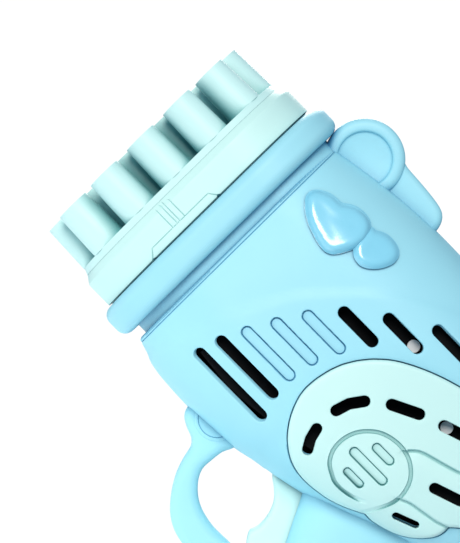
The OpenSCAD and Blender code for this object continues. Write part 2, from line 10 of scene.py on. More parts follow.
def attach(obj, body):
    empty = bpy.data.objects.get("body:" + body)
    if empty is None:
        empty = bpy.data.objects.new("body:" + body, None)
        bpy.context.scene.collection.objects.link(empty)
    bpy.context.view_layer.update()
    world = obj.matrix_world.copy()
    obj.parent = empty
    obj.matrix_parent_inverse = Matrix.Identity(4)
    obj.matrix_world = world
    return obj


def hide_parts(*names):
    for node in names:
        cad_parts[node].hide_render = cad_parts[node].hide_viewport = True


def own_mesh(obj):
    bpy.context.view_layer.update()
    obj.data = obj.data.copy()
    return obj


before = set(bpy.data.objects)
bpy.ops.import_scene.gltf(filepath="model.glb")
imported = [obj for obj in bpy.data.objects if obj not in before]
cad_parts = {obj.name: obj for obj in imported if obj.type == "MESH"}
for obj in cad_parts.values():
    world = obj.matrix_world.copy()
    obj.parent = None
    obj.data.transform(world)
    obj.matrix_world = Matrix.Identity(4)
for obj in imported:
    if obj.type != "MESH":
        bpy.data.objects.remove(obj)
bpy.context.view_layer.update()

# ------------------------------------------------ driving values, in millimetres
MM = 0.001
AXIS = 150.0            # height of the barrel axis
WALL = 2.3              # case wall
SLOT_W = 5.4            # width of the case's louvre slots
RECESS = 1.2            # depth of the blind slots
RECESS_LINE = 0.5       # extra depth of the fine line round their floors
STEP = 0.9              # how far the rear field of the case stands above the front
STEP_RAMP = 5.0         # width of the soft ramp between the two
WING_T = 2.45           # wing panels above the case
HEART_T = 3.1           # heart badges above the case
PANEL_IN = 0.05         # gap under a panel
SMOOTH_DEG = 35         # edges flatter than this are shaded smooth
BUMP_DEPTH = 0.0002     # metres
WING_GAP_D = 1.6        # depth of the joint line round a wing panel
GROOVE_W = 1.2          # floor of the groove round the wing panel's hub
GROOVE_D = 1.3
KNUCKLE = (27.4, -60.5, 9.7, 8.45)       # x, height, radius, half thickness
CAP_R, CAP_FLANK = 38.4, 21.3            # radius of the cap's end arcs, half of its straight side
CAP_REAR, CAP_FRONT = 93.95, 110.0
CAP_GAP = 0.4           # width of the joint line behind the cap
CAP_GAP_D = 1.5         # depth of that line
CAP_LIP, CAP_BORE = 36.0, 35.62          # radii at the front edge and inside
# Lines moulded into the cap's flank: x, height.
CAP_MARKS = [[(98.2, -9.6), (107.6, -9.6)], [(98.2, -12.4), (108.2, -12.4)],
             [(98.2, -13.9), (108.2, -13.9)], [(98.2, -16.5), (107.6, -16.5)],
             [(94.2, 6.6), (98, 3.8), (98, -28.7), (94.2, -32.0)]]
LARGE_HEART = [(66.5, 29.4), (68.4, 31.6), (69.0, 34.0), (68.0, 36.7), (65.3, 39.0), (62.1, 40.5),
               (58.8, 41.0), (55.9, 41.2), (54.1, 42.6), (51.2, 44.3), (47.3, 45.1), (43.5, 44.7),
               (40.6, 43.0), (38.9, 40.5), (38.0, 37.2), (38.3, 33.3), (39.4, 29.8), (41.2, 26.2),
               (43.3, 23.2), (45.7, 21.7), (48.4, 21.4), (51.9, 22.0), (55.9, 23.2), (60.2, 24.8),
               (63.9, 27.0)]
SMALL_HEART = [(38.6, 30.0), (40.0, 31.5), (41.0, 34.0), (41.4, 37.3), (41.2, 40.0), (40.6, 42.0),
               (39.7, 43.2), (38.2, 43.1), (36.0, 44.4), (32.8, 45.5), (29.0, 45.5), (25.6, 44.4),
               (23.6, 42.1), (23.1, 38.8), (24.2, 35.3), (26.3, 32.0), (29.1, 29.3), (32.2, 27.8),
               (35.4, 28.0), (37.2, 28.8)]
F_V = 21.0              # flat part of the section in the unrolled coordinate v
R_V = 42.0              # arc radius in the unrolled coordinate v
V_MAX = F_V + R_V * math.pi / 2
CASE_FRONT, CASE_REAR = 75.3, -112.0
FOOT_H = 6.5
GUARD_Y = 8.0
EAR = (62.3, 62.3, 17.5, 9.5, 11.7)      # x, height, radius, half thickness, dish radius

# Case profile against x: top and bottom above the axis, and half width.
TOP = [(-135, 15), (-134.4, 18.5), (-133, 21.5), (-130, 25.5), (-122, 32), (-112, 39), (-100, 45),
       (-80, 52.3), (-60, 57), (-40, 60.4), (-20, 62.6), (0, 63.8), (14, 64), (30, 63.4), (46, 62),
       (62, 59.6), (75.3, 57.3)]
BOTTOM = [(-135, 10), (-134.4, 7), (-133, 4), (-130, -0.5), (-122, -9), (-112, -17.5), (-100, -25.5),
          (-85, -34), (-70, -40.5), (-56.3, -45.6), (-49.9, -48), (-37, -52.9), (-20.8, -57.3),
          (-6.6, -60.5), (3.4, -62.1), (13, -64.2), (27, -65.4), (40.5, -66), (56.6, -65.3),
          (66.6, -63.6), (75.3, -61.3)]
WIDTH = [(-135, 3.5), (-134.4, 7.5), (-133, 11), (-130, 15.5), (-122, 21.6), (-112, 26.4), (-100, 30.4),
         (-75, 36), (-50, 39.4), (-25, 41.8), (0, 43), (25, 43.4), (45, 42.6), (60, 41), (75.3, 38)]
# Grip against height: front x, rear x, half width.
GRIP_FRONT = [(4, -38), (12, -42), (22, -44.2), (32, -44), (42, -42.5), (52, -40), (62, -36.4),
              (72, -31), (80, -26.8), (88, -22.8), (105, -14), (120, -10)]
GRIP_BACK = [(4, -92), (12, -89), (25, -85.5), (45, -80), (65, -76), (85, -74.5), (105, -78), (120, -84)]
GRIP_HALF = [(4, 20.5), (14, 19), (30, 18), (55, 17), (75, 17.4), (88, 17.6), (105, 17), (120, 17)]

# Soft step across the flank, from the front of the keel up to the back: x, height.
STEP_LINE = [(70, -75), (66.6, -63.4), (63.9, -47), (60.1, -32.8), (55.4, -23.5), (44.6, -3.3),
             (38.3, 5.3), (29, 15.4), (19.7, 24.7), (10.3, 31.8), (-2.4, 39), (-12.2, 43.7),
             (-30, 50), (-60, 55), (-120, 62)]

# Slots: the points of the centre line, then the width.
THRU = [((16.6, -45.6), (52.6, -45.6), SLOT_W), ((20, -35.5), (50.1, -35.5), SLOT_W),
        ((6.5, 9.4), (23, 9.4), SLOT_W), ((-8.6, 20.8), (8, 20.8), SLOT_W),
        ((-26.3, 32.1), (-9.9, 32.1), SLOT_W)]
BLIND = [((20.5, -25), (45.4, -25), SLOT_W), ((18.6, -13.7), (39.4, -13.7), SLOT_W),
         ((13.8, -2.3), (32.5, -2.3), SLOT_W)]
WING_SLOTS = [((-3.3, -32.4), (-4.7, -37.3), (-7.2, -41.3), 4.7),
              ((-3.5, -21.4), (-5.2, -15.7), (-9.0, -10.3), 4.9),
              ((-17.9, -3.3), (-28.8, 2.1), 5.0), ((-39.6, 6), (-48.5, 9), 5.0),
              ((-55.5, -14.9), (-67, -11), 4.7), ((-53.3, -34.6), (-61.9, -31.3), 3.2)]
HUB_SLOTS = [((-34, -20.2), (-26.4, -20.2), 4.3), ((-38, -28.1), (-21.3, -28.1), 4.6),
             ((-32.6, -35.9), (-25.3, -35.9), 3.9)]
WING = [(11.7, -24.5), (11.7, -21.7), (11.4, -18.2), (10.8, -15.0), (10.1, -12.0), (9.2, -9.2),
        (8.0, -6.2), (6.5, -3.5), (4.9, -0.9), (3.1, 1.5), (1.2, 3.8), (-0.9, 5.9), (-4.0, 8.7),
        (-8.0, 11.5), (-13, 14.3), (-19, 17.1), (-25.2, 19.5), (-33, 21.9), (-45, 25), (-60, 28.2),
        (-78, 30.6), (-92, 31.2), (-102, 30.2), (-107, 27.6), (-108.6, 24), (-106.4, 19.6),
        (-101, 15.2), (-94.5, 11.6), (-89.5, 9.4), (-92.6, 6.2), (-94.6, 1.8), (-94.4, -3.4),
        (-91.6, -8.6), (-86, -13.2), (-80, -16.4), (-75.5, -19.0), (-72.0, -22.2), (-72.4, -25),
        (-71.5, -29), (-68.4, -33.6), (-64.4, -37.4), (-59.6, -40.3), (-53.8, -42.3), (-48.5, -43.4),
        (-44.4, -43.3), (-42.2, -44.6), (-36.2, -47.6), (-29.8, -49.9), (-24, -51), (-17.5, -51.6),
        (-11.3, -51.1), (-5.1, -49.0), (1.2, -44.6), (5.9, -39.2), (9.0, -33.9), (11.0, -28.6)]
WING_NOTCHES = [(-89.5, 9.4), (-72.0, -22.2), (-44.4, -43.3)]
# Valleys between the feathers, each from the notch at the edge inwards.
VALLEYS = [[(-89.5, 9.4), (-76, 6.0), (-66, 1.0), (-58.4, -2.8), (-52.4, -4.8), (-45.1, -6.8),
            (-39.9, -8.6), (-36.6, -11.6)],
           [(-72.0, -22.2), (-67.0, -24.0), (-60.3, -25.2), (-53.5, -26.4), (-49.6, -28.0)]]
# Groove that runs round the hub and out at the lower edge of the panel.
SPIRAL = [(-41.6, -38.9), (-36.7, -41.2), (-31.0, -42.7), (-25.3, -42.8), (-21.4, -41.2),
          (-17.6, -38.8), (-15.2, -35.4), (-14.0, -31.4), (-14.2, -26.5), (-15.9, -21.7),
          (-19.0, -17.8), (-23.0, -14.8), (-28.4, -13.0), (-34.2, -12.8), (-39.3, -14.2),
          (-43.6, -17.2), (-46.4, -20.8), (-48.0, -25.4), (-48.2, -30.0), (-47.0, -34.6),
          (-45.0, -39.2), (-43.1, -43.2)]
GUARD = [(39.6, -56), (39.6, -66.6), (38, -69.8), (34, -72.3), (29.2, -74.2), (26.7, -77.1),
         (25.1, -83.5), (22.7, -90), (18.7, -96.5), (13, -102.9), (6.6, -106.9), (-0.7, -108.7),
         (-15, -109.5), (-30, -109.8), (-50, -110.5), (-50, -93.8), (-30, -94.2), (-14.7, -94.3),
         (-4.7, -94.5), (3.4, -92.9), (9, -90), (13.8, -85.2), (16.3, -80.3), (16.3, -75.5),
         (15.5, -69), (13.5, -64.5), (12.5, -56)]
BUMP = [(58, 54), (58, 74), (46, 73), (36, 72.4), (27, 71.4), (22.6, 70), (20, 67.2), (18.8, 63),
        (18.6, 54)]
TRIGGER = [(-3.4, -50), (-4.4, -54.8), (-6.6, -60.6), (-11.2, -64.2), (-15.2, -68.2), (-17.6, -73.9),
           (-18.1, -80.3), (-16.9, -84), (-17.9, -86.6), (-20, -89.4), (-23, -91.2), (-27, -91.8),
           (-36.6, -89.5), (-35.6, -80), (-35.8, -64), (-29, -55), (-21, -46), (-16, -42.6),
           (-10.5, -41.6), (-6, -43.4)]
SCREWS = [(48, -58), (48, 52.3), (-8, 54), (6, -55), (-50, 47.6), (-48.6, -36.5), (-88, 39)]
GUARD_SCREW = (21.4, -78.6)
GRIP_SCREWS = [(-58.5, -84), (-63, -124)]
SCREW_HOLE = 6.6        # width of a screw hole in the skin
SEAT_Y, GRIP_SEAT_Y = 12.0, 7.0          # seats of the screw heads, from the mid-plane
SCREW_R, CUP_BORE, CUP_R = 1.65, 3.3, 4.3
WELL_HALF = 6.5         # half width of the trigger's opening
PIVOT = (-12, -50)      # trigger pin
PIN_HOLE = 3.1
TRIGGER_HALF, TRIGGER_ROUND = 6.0, 2.2
SPRING_REAR, SPRING_FRONT, SPRING_H = -49.3, -37.5, -85.5
SPRING_R, SPRING_WIRE, SPRING_TURNS = 3.0, 0.4, 6


# ------------------------------------------------ small mathematics
def smooth_table(table):
    """Cubic through a table that never overshoots it."""
    x = np.array([p[0] for p in table], float)
    y = np.array([p[1] for p in table], float)
    h = np.diff(x)
    d = np.diff(y) / h
    m = np.zeros_like(y)
    m[0], m[-1] = d[0], d[-1]
    for i in range(1, len(x) - 1):
        if d[i - 1] * d[i] > 0:
            a, b = 2 * h[i] + h[i - 1], h[i] + 2 * h[i - 1]
            m[i] = (a + b) / (a / d[i - 1] + b / d[i])

    def at(q):
        q = np.clip(np.asarray(q, float), x[0], x[-1])
        i = np.clip(np.searchsorted(x, q) - 1, 0, len(x) - 2)
        t = (q - x[i]) / h[i]
        return ((1 + 2 * t) * (1 - t) ** 2 * y[i] + t * (1 - t) ** 2 * h[i] * m[i]
                + t * t * (3 - 2 * t) * y[i + 1] + t * t * (t - 1) * h[i] * m[i + 1])
    return at


top_at, bottom_at, width_at = smooth_table(TOP), smooth_table(BOTTOM), smooth_table(WIDTH)
front_at, back_at, half_at = smooth_table(GRIP_FRONT), smooth_table(GRIP_BACK), smooth_table(GRIP_HALF)


def section(x):
    t, b, w = top_at(x), bottom_at(x), width_at(x)
    r = np.minimum(w, (t - b) / 2 - 0.1)
    return w, r, b + r, t - r


def case_surface(p):
    """Points (x, v) of the unrolled flank to 3-D, +y side, heights above the axis."""
    x, v = p[:, 0], p[:, 1]
    w, r, low, high = section(x)
    a = np.clip((np.abs(v) - F_V) / R_V, 0, math.pi / 2)
    flat = np.clip(v, -F_V, F_V) / F_V
    y = w * np.cos(a)
    z = (low + high) / 2 + (high - low) / 2 * flat + np.sign(v) * r * np.sin(a)
    return np.stack([x, y, z], 1)


def unroll(p):
    """Side-view points (x, height) to (x, v)."""
    x, z = p[:, 0], p[:, 1]
    _, r, low, high = section(x)
    up = np.clip((z - high) / r, 0, 1)
    down = np.clip((low - z) / r, 0, 1)
    flat = np.clip((z - (low + high) / 2) / ((high - low) / 2), -1, 1)
    v = flat * F_V + R_V * np.arcsin(up) - R_V * np.arcsin(down)
    return np.stack([x, v], 1)


def normals(surface, p, e=0.05):
    """Unit normals of a surface function, pointing away from the mid-plane."""
    du = surface(p + [e, 0]) - surface(p - [e, 0])
    dv = surface(p + [0, e]) - surface(p - [0, e])
    n = np.cross(dv, du)
    n /= np.linalg.norm(n, axis=1)[:, None] + 1e-12
    return n


def spline(points, closed=True, step=1.2):
    """Even points along a centripetal curve through the given ones."""
    p = np.array(points, float)
    n = len(p)
    out = []
    for i in range(n if closed else n - 1):
        a, b = p[i], p[(i + 1) % n]
        before = p[(i - 1) % n] if closed or i else 2 * a - b
        after = p[(i + 2) % n] if closed or i < n - 2 else 2 * b - a
        k = max(2, int(np.linalg.norm(b - a) / step))
        m0, m1 = (b - before) / 2, (after - a) / 2
        m0 *= min(1, np.linalg.norm(b - a) / (np.linalg.norm(m0) + 1e-9))
        m1 *= min(1, np.linalg.norm(b - a) / (np.linalg.norm(m1) + 1e-9))
        for j in range(k):
            t = j / k
            out.append((1 + 2 * t) * (1 - t) ** 2 * a + t * (1 - t) ** 2 * m0
                       + t * t * (3 - 2 * t) * b + t * t * (t - 1) * m1)
    if not closed:
        out.append(p[-1])
    return np.array(out)


def inward(line):
    """Unit normals of a closed line, pointing to its inside."""
    t = np.roll(line, -1, 0) - np.roll(line, 1, 0)
    t /= np.linalg.norm(t, axis=1)[:, None] + 1e-9
    n = np.stack([-t[:, 1], t[:, 0]], 1)
    return n if inside(line + n * 0.05, line).mean() > 0.5 else -n


def segment_distance(p, a, b):
    """Distance of points to one segment."""
    a, b = np.array(a, float), np.array(b, float)
    d = b - a
    t = np.clip(((p - a) @ d) / (d @ d + 1e-12), 0, 1)
    return np.linalg.norm(p - a - t[:, None] * d, axis=1)


def line_distance(p, line, closed=False):
    """Distance of points to a polyline, and which side of it they're on."""
    best = np.full(len(p), 1e9)
    side = np.ones(len(p))
    q = np.array(line, float)
    pairs = list(zip(q[:-1], q[1:])) + ([(q[-1], q[0])] if closed else [])
    for a, b in pairs:
        d = segment_distance(p, a, b)
        near = d < best - 1e-9
        s = (b[0] - a[0]) * (p[:, 1] - a[1]) - (b[1] - a[1]) * (p[:, 0] - a[0])
        side = np.where(near, np.sign(s), side)
        best = np.minimum(best, d)
    return best, side


def ease(t):
    """Smooth ramp from 0 to 1."""
    t = np.clip(t, 0, 1)
    return t * t * (3 - 2 * t)


def round_over(d, r):
    """Depth below a flat face at distance d from an edge with radius r."""
    d = np.clip(d, 0, r)
    return r - np.sqrt(np.maximum(r * r - (r - d) ** 2, 0))


def slot_edge(p, s):
    """Signed distance from the edge of a slot (points of its centre line, then its width)."""
    d = segment_distance(p, s[0], s[1])
    for a, b in zip(s[1:-2], s[2:-1]):
        d = np.minimum(d, segment_distance(p, a, b))
    return d - s[-1] / 2


def slot_ring(s, grow):
    """Points round a slot, grown by a distance."""
    step = 0.9
    q, r = np.array(s[:-1], float), s[-1] / 2 + grow
    d = q[-1] - q[-2]
    if np.linalg.norm(q[1] - q[0]) < 1e-9:
        k = max(12, int(2 * math.pi * r / step))
        return np.array([q[0] + r * np.array([math.cos(a), math.sin(a)])
                         for a in np.linspace(0, 2 * math.pi, k, endpoint=False)])
    run, side = [], []
    for a, b in zip(q[:-1], q[1:]):
        u = (b - a) / np.linalg.norm(b - a)
        k = max(2, int(np.linalg.norm(b - a) / step))
        for t in np.arange(k) / k:
            run.append(a + (b - a) * t)
            side.append(np.array([-u[1], u[0]]))
    run.append(q[-1])
    side.append(side[-1])
    run, side = np.array(run), np.array(side)
    side[1:-1] = side[2:] + side[:-2]
    side /= np.linalg.norm(side, axis=1)[:, None]
    k = max(6, int(math.pi * r / step))
    end = math.atan2(d[1], d[0])
    tail = math.atan2(*(q[1] - q[0])[::-1])
    ring = list((run - side * r)[:-1])
    ring += [q[-1] + r * np.array([math.cos(end + a), math.sin(end + a)])
             for a in np.linspace(-math.pi / 2, math.pi / 2, k)]
    ring += list((run + side * r)[::-1][1:])
    ring += [q[0] + r * np.array([math.cos(tail + a), math.sin(tail + a)])
             for a in np.linspace(math.pi / 2, 3 * math.pi / 2, k)[1:-1]]
    return np.array(ring)


def inside(p, loop):
    """Which points lie inside a closed line."""
    hit = np.zeros(len(p), bool)
    x, y = p[:, 0], p[:, 1]
    q = np.asarray(loop)
    for (x1, y1), (x2, y2) in zip(q, np.roll(q, -1, 0)):
        if y1 == y2:
            continue
        cross = ((y1 > y) != (y2 > y)) & (x < (x2 - x1) * (y - y1) / (y2 - y1) + x1)
        hit ^= cross
    return hit


# ------------------------------------------------ mesh builders
def triangulate(outline, holes, rings, loose):
    """Triangles of an outline with holes; rings are extra closed lines, loose are single points."""
    points, edges = [], []
    for loop in [outline] + holes + rings:
        base = len(points)
        points += [tuple(q) for q in loop]
        edges += [(base + i, base + (i + 1) % len(loop)) for i in range(len(loop))]
    points += [tuple(q) for q in loose]
    got = delaunay_2d_cdt([Vector(q) for q in points], edges, [], 0, 1e-5)
    p = np.array([tuple(q) for q in got[0]])
    t = np.array([f for f in got[2] if len(f) == 3])
    mid = p[t].mean(1)
    keep = inside(mid, outline)
    for hole in holes:
        keep &= ~inside(mid, hole)
    return p, t[keep]


def solid_sheet(outline, holes, rings, loose, top, bottom, open_edge=None):
    """Closed solid between two surfaces over one outline. open_edge drops side walls by point."""
    p, t = triangulate(outline, holes, rings, loose)
    a, b = p[t[:, 1]] - p[t[:, 0]], p[t[:, 2]] - p[t[:, 0]]
    turned = a[:, 0] * b[:, 1] - a[:, 1] * b[:, 0] < 0
    t[turned] = t[turned][:, ::-1]
    used = np.unique(t)
    remap = -np.ones(len(p), int)
    remap[used] = np.arange(len(used))
    t, p = remap[t], p[used]
    n = len(p)
    verts = np.concatenate([top(p), bottom(p)])
    faces = [tuple(f[::-1]) for f in t.tolist()] + [tuple(i + n for i in f) for f in t.tolist()]
    count = {}
    for f in t.tolist():
        for i in range(3):
            count[(f[i], f[(i + 1) % 3])] = 1
    for (i, j) in count:
        if (j, i) not in count and not (open_edge is not None and open_edge(p[i], p[j])):
            faces.append((i, j, j + n, i + n))
    return verts, faces


def grid_points(box, step_u, step_v, extra_u=(), extra_v=()):
    """Even grid over a box, with extra rows and columns."""
    u = np.unique(np.round(np.concatenate([np.arange(box[0], box[1], step_u), [box[1]], extra_u]), 4))
    v = np.unique(np.round(np.concatenate([np.arange(box[2], box[3], step_v), [box[3]], extra_v]), 4))
    return np.array([(a, b) for a in u for b in v])


def piece(name, parts, material, body, mirror=False):
    """Object from (verts, faces) parts given in millimetres with heights above the axis."""
    verts, faces = [], []
    for v, f in parts:
        base = len(verts)
        for q in v:
            verts.append((q[0] * MM, (-q[1] if mirror else q[1]) * MM, (q[2] + AXIS) * MM))
        for g in f:
            g = [base + int(i) for i in g]
            faces.append(g[::-1] if mirror else g)
    mesh = bpy.data.meshes.new(name)
    mesh.from_pydata(verts, [], faces)
    mesh.validate()
    mesh.update()
    obj = bpy.data.objects.new(name, mesh)
    bpy.context.scene.collection.objects.link(obj)
    bpy.context.view_layer.objects.active = obj
    bm = bmesh.new()
    bm.from_mesh(mesh)
    bmesh.ops.remove_doubles(bm, verts=bm.verts, dist=2e-6)
    bmesh.ops.recalc_face_normals(bm, faces=bm.faces)
    for f in bm.faces:
        f.smooth = True
    limit = math.radians(SMOOTH_DEG)
    for e in bm.edges:
        e.smooth = len(e.link_faces) == 2 and e.calc_face_angle(0) < limit
    bm.to_mesh(mesh)
    bm.free()
    mesh.materials.append(material)
    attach(obj, body)
    return obj


# ------------------------------------------------ materials
def set_inputs(target, **numbers):
    """Set a node's inputs; an underscore in a name stands for a space."""
    for name, number in numbers.items():
        target.inputs[name.replace("_", " ")].default_value = number


def add_node(nt, kind, **numbers):
    """New shader node with its inputs set."""
    new = nt.nodes.new(kind)
    set_inputs(new, **numbers)
    return new


def noise(nt, where, scale, detail):
    """Noise over a vector output."""
    new = add_node(nt, "ShaderNodeTexNoise", Scale=scale, Detail=detail)
    nt.links.new(where, new.inputs["Vector"])
    return new.outputs["Fac"]


def span(nt, value, **ends):
    """Value mapped to another range."""
    new = add_node(nt, "ShaderNodeMapRange", **ends)
    nt.links.new(value, new.inputs["Value"])
    return new.outputs["Result"]


def relief(nt, height, strength, shader):
    """Fine bumps on a shader."""
    new = add_node(nt, "ShaderNodeBump", Strength=strength, Distance=BUMP_DEPTH)
    nt.links.new(height, new.inputs["Height"])
    nt.links.new(new.outputs["Normal"], shader.inputs["Normal"])


def new_material(name):
    """Material with its node tree and main shader."""
    m = bpy.data.materials.new(name)
    m.use_nodes = True
    return m, m.node_tree, m.node_tree.nodes["Principled BSDF"]


def plastic(name, colour, rough, deep, grain=0.03, coat=0.0, painted_shade=None, reach=0.005, shine=0.5):
    """Moulded plastic: faint flow marks, uneven gloss, fine grain, and painted shade that darkens the colour
    in crevices.
    """
    m, nt, shader = new_material(name)
    link = nt.links
    where = nt.nodes.new("ShaderNodeTexCoord").outputs["Object"]
    mix = nt.nodes.new("ShaderNodeMix")
    mix.data_type = "RGBA"
    mix.inputs[6].default_value = (*colour, 1)
    mix.inputs[7].default_value = (*deep, 1)
    link.new(span(nt, noise(nt, where, 22, 3), From_Min=0.35, From_Max=0.75), mix.inputs[0])
    if painted_shade is None:
        link.new(mix.outputs[2], shader.inputs["Base Color"])
    else:
        # painted shade: where ambient occlusion finds crevices and gaps between parts, the base colour is
        # mixed towards the painted_shade colour
        shade = add_node(nt, "ShaderNodeAmbientOcclusion", Distance=reach)
        shade.samples = 8
        tone = nt.nodes.new("ShaderNodeMix")
        tone.data_type = "RGBA"
        tone.inputs[6].default_value = (*painted_shade, 1)
        link.new(span(nt, shade.outputs["AO"], From_Min=0.25, From_Max=0.9), tone.inputs[0])
        link.new(mix.outputs[2], tone.inputs[7])
        link.new(tone.outputs[2], shader.inputs["Base Color"])
    gloss = span(nt, noise(nt, where, 160, 4), To_Min=rough - 0.05, To_Max=rough + 0.06)
    link.new(gloss, shader.inputs["Roughness"])
    relief(nt, noise(nt, where, 1800, 2), grain, shader)
    set_inputs(shader, IOR=1.47, Specular_IOR_Level=shine, Coat_Weight=coat, Coat_Roughness=0.12)
    return m


def metal(name, colour, rough, streak=(1, 1, 60)):
    """Plated or drawn metal: fine directional streaks in roughness and height."""
    m, nt, shader = new_material(name)
    link = nt.links
    scale = add_node(nt, "ShaderNodeMapping", Scale=streak)
    link.new(nt.nodes.new("ShaderNodeTexCoord").outputs["Object"], scale.inputs["Vector"])
    streaks = noise(nt, scale.outputs["Vector"], 90, 5)
    ramp = nt.nodes.new("ShaderNodeValToRGB")
    ramp.color_ramp.elements[0].color = (*[c * 0.8 for c in colour], 1)
    ramp.color_ramp.elements[1].color = (*colour, 1)
    link.new(streaks, ramp.inputs["Fac"])
    link.new(ramp.outputs["Color"], shader.inputs["Base Color"])
    link.new(span(nt, streaks, To_Min=rough - 0.08, To_Max=rough + 0.1), shader.inputs["Roughness"])
    set_inputs(shader, Metallic=1.0)
    relief(nt, streaks, 0.08, shader)
    return m


# The seventh argument of these plastics is the colour of painted shade in their crevices.
BLUE = plastic("case_blue_plastic", (0.40, 0.81, 0.93), 0.5, (0.38, 0.785, 0.92), 0.05,
               0.0, (0.08, 0.31, 0.50), reach=0.008)
BADGE = plastic("badge_blue_plastic", (0.30, 0.74, 0.93), 0.2, (0.27, 0.71, 0.92), 0.015, 0.8,
                (0.12, 0.38, 0.52))
MINT = plastic("mint_plastic", (0.66, 0.955, 0.91), 0.48, (0.64, 0.935, 0.90), 0.05,
               0.0, (0.16, 0.42, 0.42))
BLACK = plastic("black_plastic", (0.004, 0.0045, 0.006), 0.7, (0.003, 0.0032, 0.004), 0.12, shine=0.12)
WHITE = plastic("white_plastic", (0.82, 0.84, 0.86), 0.35, (0.78, 0.8, 0.83), 0.04)
RED = plastic("red_plastic", (0.55, 0.03, 0.03), 0.35, (0.48, 0.02, 0.025), 0.05)
GREEN = plastic("cell_jacket", (0.03, 0.17, 0.1), 0.3, (0.02, 0.14, 0.08), 0.03, 0.5)
RUBBER = plastic("seal_rubber", (0.02, 0.02, 0.022), 0.75, (0.015, 0.015, 0.017), 0.3)
# Mint again, with darker painted shade that reaches further, for painted shade in the gaps between the
# tubes.
TUBE = plastic("tube_mint_plastic", (0.66, 0.955, 0.93), 0.48, (0.64, 0.935, 0.92), 0.05,
               0.0, (0.13, 0.40, 0.41), reach=0.012)
STEEL = metal("plated_steel", (0.34, 0.35, 0.37), 0.42)
CAN = metal("motor_can", (0.62, 0.63, 0.65), 0.35, (60, 1, 1))


# ------------------------------------------------ case shells
def wing_outline():
    """Wing panel outline: smooth between its notches, which stay sharp."""
    marks = [WING.index(n) for n in WING_NOTCHES]
    out = []
    for a, b in zip(marks, marks[1:] + [marks[0] + len(WING)]):
        run = [WING[i % len(WING)] for i in range(a, b + 1)]
        out += list(spline(run, closed=False, step=0.6)[:-1])
    return np.array(out)


WING_LINE = wing_outline()


def blind_depth(e):
    """Depth of a blind slot at signed distance e from its edge: a floor with a fine line round it."""
    floor_edge = RECESS + RECESS_LINE * (1 - ease((-e - 0.25) / 0.35))
    return np.where(e <= -0.1, floor_edge, np.where(e < 0.35, round_over(e, 0.35), 0))


STEP_CURVE = spline(STEP_LINE, closed=False, step=3)
LIP_X = CASE_FRONT - 1.7    # fine groove behind the front edge of the case


def case_relief(side_view):
    """Height of the case skin above the lofted surface: soft step, blind slots and rounded rims."""
    d, side = line_distance(side_view, STEP_CURVE)
    off = -STEP * ease(0.5 - side * d / STEP_RAMP)
    for s in BLIND:
        e = slot_edge(side_view, s)
        off = off - blind_depth(e)
    for s in THRU:
        e = slot_edge(side_view, s)
        off = off - np.where(e < 0.5, round_over(e, 0.5), 0)
    return off


def case_top(holes):
    """Outer surface of a case half with rounded edges at its holes, ends and joint line."""
    def top(p):
        base = case_surface(p)
        side = base[:, [0, 2]]
        off = case_relief(side)
        for c in holes:
            off = off - round_over(slot_edge(side, c), 0.5)
        off = off - round_over(CASE_FRONT - p[:, 0], 1.2) - round_over(p[:, 0] - CASE_REAR, 0.5)
        off = off - 0.45 * (1 - ease(np.abs(p[:, 0] - LIP_X) / 0.32))
        away, _ = line_distance(side, WING_LINE, True)
        gap = np.where(inside(side, WING_LINE), 0, away)
        off = off - WING_GAP_D * (1 - ease((gap - 0.25) / 0.3))
        off = off - round_over(V_MAX - np.abs(p[:, 1]), 0.35)
        out = base + normals(case_surface, p) * off[:, None]
        out[:, 1] = np.where(np.abs(p[:, 1]) > V_MAX - 1e-6, 0, out[:, 1])
        return out
    return top


def case_inner(p):
    """Inner surface of a case half."""
    out = case_surface(p) - normals(case_surface, p) * WALL
    out[:, 1] = np.where(np.abs(p[:, 1]) > V_MAX - 1e-6, 0, out[:, 1])
    return out


def well_v(x):
    """Unrolled v at the edge of the trigger's opening in the keel."""
    return -(F_V + R_V * np.arccos(WELL_HALF / width_at(x)))


# Distances from an edge or a line at which points are laid, so that its rounding comes out clean.
HOLE_STEPS = (0.12, 0.3, 0.6)
PLATE_HOLE_STEPS = (0.12, 0.35, 0.7)
WING_GAP_STEPS = (-0.5, 0.05, 0.25, 0.4, 0.55, 0.8)
RIM_STEPS = (-0.62, -0.45, -0.25, -0.1, 0, 0.12, 0.35, 0.6)
FINE = np.array([-0.6, -0.32, -0.16, 0.0, 0.16, 0.32, 0.6])


